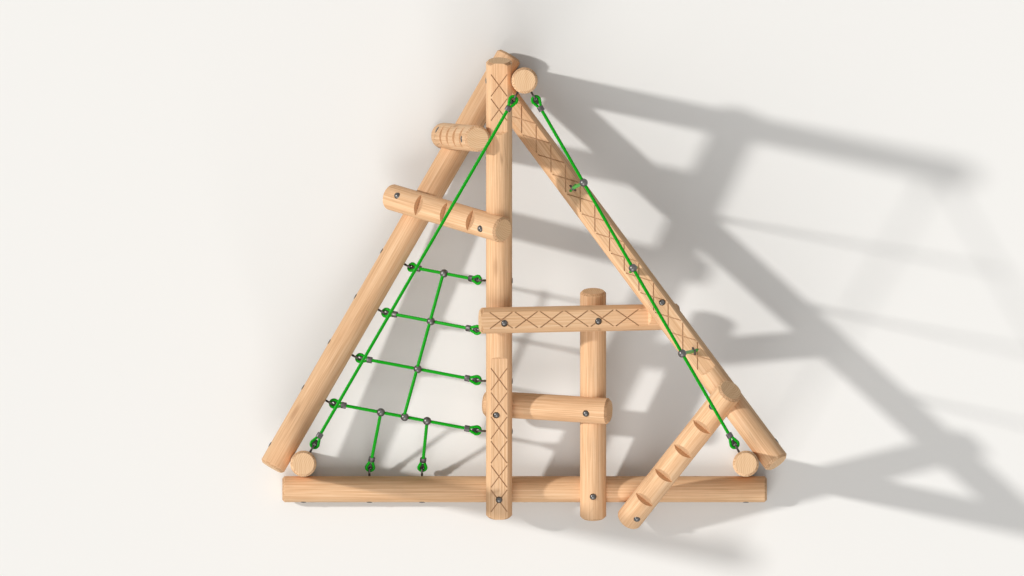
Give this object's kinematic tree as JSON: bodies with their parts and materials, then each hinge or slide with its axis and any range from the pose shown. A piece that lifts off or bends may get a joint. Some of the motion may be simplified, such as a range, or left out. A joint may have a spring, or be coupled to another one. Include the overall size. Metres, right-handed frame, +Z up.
{
  "type": "climbing frame",
  "caption": "Free-standing log climbing frame: round posts on a triangle, crossed and notched logs bolted together, a green rope net and high hand ropes.",
  "frame": {"origin": "centre of the bounding box on the ground", "axes": "+Z up, +X along the base log, +Y towards the apex post"},
  "size_m": [2.4924, 2.2755, 1.5],
  "materials": {
    "timber": "turned and planed softwood, light tan, weathered matt",
    "bolt": "dark grey domed heads, satin",
    "eye": "dark grey forged eyes, satin",
    "rope": "bright green twisted rope with pressed ferrules and ball connectors"
  },
  "bodies": {
    "root": {"bolt_base_post_left": "bolt", "bolt_base_post_right": "bolt", "bolt_beam_centre": "bolt", "bolt_beam_riser": "bolt", "bolt_centre_base": "bolt", "bolt_centre_post_apex": "bolt", "bolt_centre_step": "bolt", "bolt_left_post_left": "bolt", "bolt_lower_base": "bolt", "bolt_lower_right": "bolt", "bolt_right_beam": "bolt", "bolt_right_post_right": "bolt", "bolt_riser_base": "bolt", "bolt_steep_centre": "bolt", "bolt_steep_left": "bolt", "bolt_step_riser": "bolt", "bolt_upper_centre": "bolt", "bolt_upper_left": "bolt", "eye_apex_left": "eye", "eye_apex_right": "eye", "eye_drop_1": "eye", "eye_drop_2": "eye", "eye_hanger_1": "eye", "eye_hanger_2": "eye", "eye_hanger_3": "eye", "eye_net_left_1": "eye", "eye_net_left_2": "eye", "eye_net_left_3": "eye", "eye_net_left_4": "eye", "eye_net_right_1": "eye", "eye_net_right_2": "eye", "eye_net_right_3": "eye", "eye_net_right_4": "eye", "eye_post_left": "eye", "eye_post_right": "eye", "log_base": "timber", "log_beam": "timber", "log_centre": "timber", "log_left": "timber", "log_right": "timber", "log_short_riser": "timber", "log_step": "timber", "post_apex": "timber", "post_left": "timber", "post_right": "timber", "rope_drop_1": "rope", "rope_drop_2": "rope", "rope_hanger_1": "rope", "rope_hanger_2": "rope", "rope_hanger_3": "rope", "rope_high_left": "rope", "rope_high_right": "rope", "rope_net_1": "rope", "rope_net_2": "rope", "rope_net_3": "rope", "rope_net_4": "rope", "rope_net_down": "rope", "rung_lower": "timber", "rung_steep": "timber", "rung_upper": "timber"}
  },
  "joints": []
}
